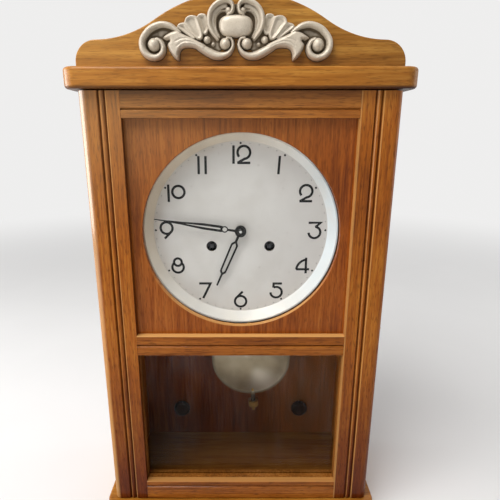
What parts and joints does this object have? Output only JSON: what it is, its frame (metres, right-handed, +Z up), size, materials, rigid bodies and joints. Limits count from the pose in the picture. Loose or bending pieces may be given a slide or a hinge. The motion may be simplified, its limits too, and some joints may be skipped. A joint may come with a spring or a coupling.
{
  "type": "wall clock",
  "caption": "Oak wall regulator with a glazed hinged door, silvered Arabic dial, carved crest on an arched pediment, striking spring movement and swinging disc pendulum.",
  "frame": {"origin": "centre of the hanger plate's entry hole, on the wall plane", "axes": "+X to the clock's right as seen from the front, +Y back into the wall, +Z up"},
  "size_m": [0.3334, 0.1395, 0.584],
  "materials": {
    "oak": "varnished golden oak",
    "oak_inside": "dark stained oak",
    "silvered_carving": "carved, silvered and rubbed dark in the hollows",
    "clear_glass": "clear polished pane",
    "silvered_dial": "silvered matt",
    "bright_ring": "polished reflector",
    "black_steel": "black lacquer",
    "clock_brass": "lacquered brass",
    "clock_steel": "bright steel",
    "spun_bob": "spun and nickelled",
    "dark_iron": "dark paint"
  },
  "bodies": {
    "case": {"back_board": "oak_inside", "left_side": "oak", "right_side": "oak", "cornice": "oak", "plinth": "oak", "pediment": "oak", "carved_crest": "silvered_carving", "hanger_plate": "clock_steel", "screws": "clock_steel", "case_hinges": "clock_brass", "movement_brackets": "clock_steel", "gong_block": "dark_iron", "gong_rods": "clock_steel", "front_plate": "clock_brass", "back_plate": "clock_brass", "pillars": "clock_brass", "pillar_nuts": "clock_steel", "suspension_cock": "clock_brass", "dial_plate": "silvered_dial", "dial_ring": "bright_ring"},
    "door": {"left_stile": "oak", "right_stile": "oak", "top_rail": "oak", "mid_rail": "oak", "bottom_rail": "oak", "dial_panel": "oak", "dial_glass": "clear_glass", "pendulum_glass": "clear_glass", "glazing_beads": "oak", "door_hinges": "clock_brass", "latch_stud": "clock_brass"},
    "hook": {"latch_hook": "clock_brass"},
    "level_left": {"level_screw_left": "black_steel"},
    "level_right": {"level_screw_right": "black_steel"},
    "minute": {"minute_hand": "black_steel", "cannon_pinion": "clock_brass", "hand_nut": "clock_brass"},
    "hour": {"hour_hand": "black_steel", "hour_wheel": "clock_brass"},
    "motion": {"minute_wheel": "clock_brass"},
    "going_drum": {"going_barrel": "clock_brass", "going_spring": "clock_steel"},
    "going_winder": {"going_arbor": "clock_steel"},
    "going_pawl": {"going_click": "clock_steel"},
    "second": {"second_wheel": "clock_brass"},
    "centre": {"centre_wheel": "clock_brass"},
    "third": {"third_wheel": "clock_brass"},
    "escape": {"escape_wheel": "clock_brass"},
    "anchor": {"anchor": "clock_steel"},
    "pendulum": {"suspension_spring": "clock_steel", "pendulum_rod": "clock_brass"},
    "bob": {"pendulum_bob": "spun_bob", "rating_nut": "clock_brass"},
    "strike_drum": {"strike_barrel": "clock_brass", "strike_spring": "clock_steel"},
    "strike_winder": {"strike_arbor": "clock_steel"},
    "strike_pawl": {"strike_click": "clock_steel"},
    "strike_second": {"strike_second_wheel": "clock_brass"},
    "pins": {"pin_wheel": "clock_brass"},
    "hammer": {"hammers": "clock_steel"}
  },
  "joints": [
    {"name": "door_hinge", "type": "hinge", "parent": "case", "child": "door", "pos_m": [-0.1576, -0.10975, -0.2], "axis": [0, 0, -1], "range_deg": [0, 110]},
    {"name": "hook_turn", "type": "hinge", "parent": "case", "child": "hook", "pos_m": [0.1559, -0.081, -0.217], "axis": [-1, 0, 0], "range_deg": [0, 90]},
    {"name": "level_left_screw", "type": "slide", "parent": "case", "child": "level_left", "axis": [0, 1, 0], "range_m": [-0.006, 0.0005]},
    {"name": "level_right_screw", "type": "slide", "parent": "case", "child": "level_right", "axis": [0, 1, 0], "range_m": [-0.006, 0.0005]},
    {"name": "minute_turn", "type": "hinge", "parent": "case", "child": "minute", "pos_m": [0, -0.065, -0.108], "axis": [0, 1, 0], "continuous": true},
    {"name": "hour_turn", "type": "hinge", "parent": "case", "child": "hour", "pos_m": [0, -0.065, -0.108], "axis": [0, 1, 0], "continuous": true},
    {"name": "motion_turn", "type": "hinge", "parent": "case", "child": "motion", "pos_m": [0.00964, -0.065, -0.09424], "axis": [0, 1, 0], "continuous": true},
    {"name": "third_turn", "type": "hinge", "parent": "case", "child": "third", "pos_m": [-0.00688, -0.065, -0.09008], "axis": [0, 1, 0], "continuous": true},
    {"name": "escape_turn", "type": "hinge", "parent": "case", "child": "escape", "pos_m": [0, -0.065, -0.07292], "axis": [0, 1, 0], "continuous": true},
    {"name": "centre_turn", "type": "hinge", "parent": "case", "child": "centre", "pos_m": [0, -0.065, -0.108], "axis": [0, 1, 0], "continuous": true},
    {"name": "second_turn", "type": "hinge", "parent": "case", "child": "second", "pos_m": [0.00274, -0.065, -0.12882], "axis": [0, 1, 0], "continuous": true},
    {"name": "going_drum_turn", "type": "hinge", "parent": "case", "child": "going_drum", "pos_m": [0.032, -0.065, -0.126], "axis": [0, 1, 0], "continuous": true},
    {"name": "going_winding", "type": "hinge", "parent": "case", "child": "going_winder", "pos_m": [0.032, -0.065, -0.126], "axis": [0, 1, 0], "continuous": true},
    {"name": "going_pawl_lift", "type": "hinge", "parent": "case", "child": "going_pawl", "pos_m": [0.045, -0.0855, -0.114], "axis": [0, 1, 0], "range_deg": [0, 12]},
    {"name": "strike_drum_turn", "type": "hinge", "parent": "case", "child": "strike_drum", "pos_m": [-0.032, -0.065, -0.126], "axis": [0, 1, 0], "continuous": true},
    {"name": "strike_second_turn", "type": "hinge", "parent": "case", "child": "strike_second", "pos_m": [-0.03711, -0.065, -0.09705], "axis": [0, 1, 0], "continuous": true},
    {"name": "pins_turn", "type": "hinge", "parent": "case", "child": "pins", "pos_m": [-0.02823, -0.065, -0.07801], "axis": [0, 1, 0], "continuous": true},
    {"name": "strike_winding", "type": "hinge", "parent": "case", "child": "strike_winder", "pos_m": [-0.032, -0.065, -0.126], "axis": [0, 1, 0], "continuous": true},
    {"name": "strike_pawl_lift", "type": "hinge", "parent": "case", "child": "strike_pawl", "pos_m": [-0.045, -0.0855, -0.114], "axis": [0, -1, 0], "range_deg": [0, 12]},
    {"name": "hammer_lift", "type": "hinge", "parent": "case", "child": "hammer", "pos_m": [-0.05, -0.065, -0.06], "axis": [0, 1, 0], "range_deg": [0, 22]},
    {"name": "pendulum_swing", "type": "hinge", "parent": "case", "child": "pendulum", "pos_m": [0, -0.034, -0.05092], "axis": [0, 1, 0], "range_deg": [-0.6, 7]},
    {"name": "anchor_rock", "type": "hinge", "parent": "case", "child": "anchor", "pos_m": [0, -0.065, -0.05092], "axis": [0, 1, 0], "range_deg": [-0.6, 7]},
    {"name": "bob_rating", "type": "slide", "parent": "pendulum", "child": "bob", "axis": [-0.0558, 0, 0.9984], "range_m": [-0.005, 0.005]}
  ],
  "couplings": [
    {"joint": "hour_turn", "follows": "minute_turn", "ratio": 0.083333},
    {"joint": "motion_turn", "follows": "minute_turn", "ratio": -0.33333},
    {"joint": "escape_turn", "follows": "third_turn", "ratio": -10},
    {"joint": "centre_turn", "follows": "third_turn", "ratio": -0.11111},
    {"joint": "second_turn", "follows": "third_turn", "ratio": 0.018519},
    {"joint": "going_drum_turn", "follows": "third_turn", "ratio": -0.0030864},
    {"joint": "strike_second_turn", "follows": "strike_drum_turn", "ratio": -6},
    {"joint": "pins_turn", "follows": "strike_drum_turn", "ratio": 36},
    {"joint": "anchor_rock", "follows": "pendulum_swing", "ratio": 1}
  ]
}
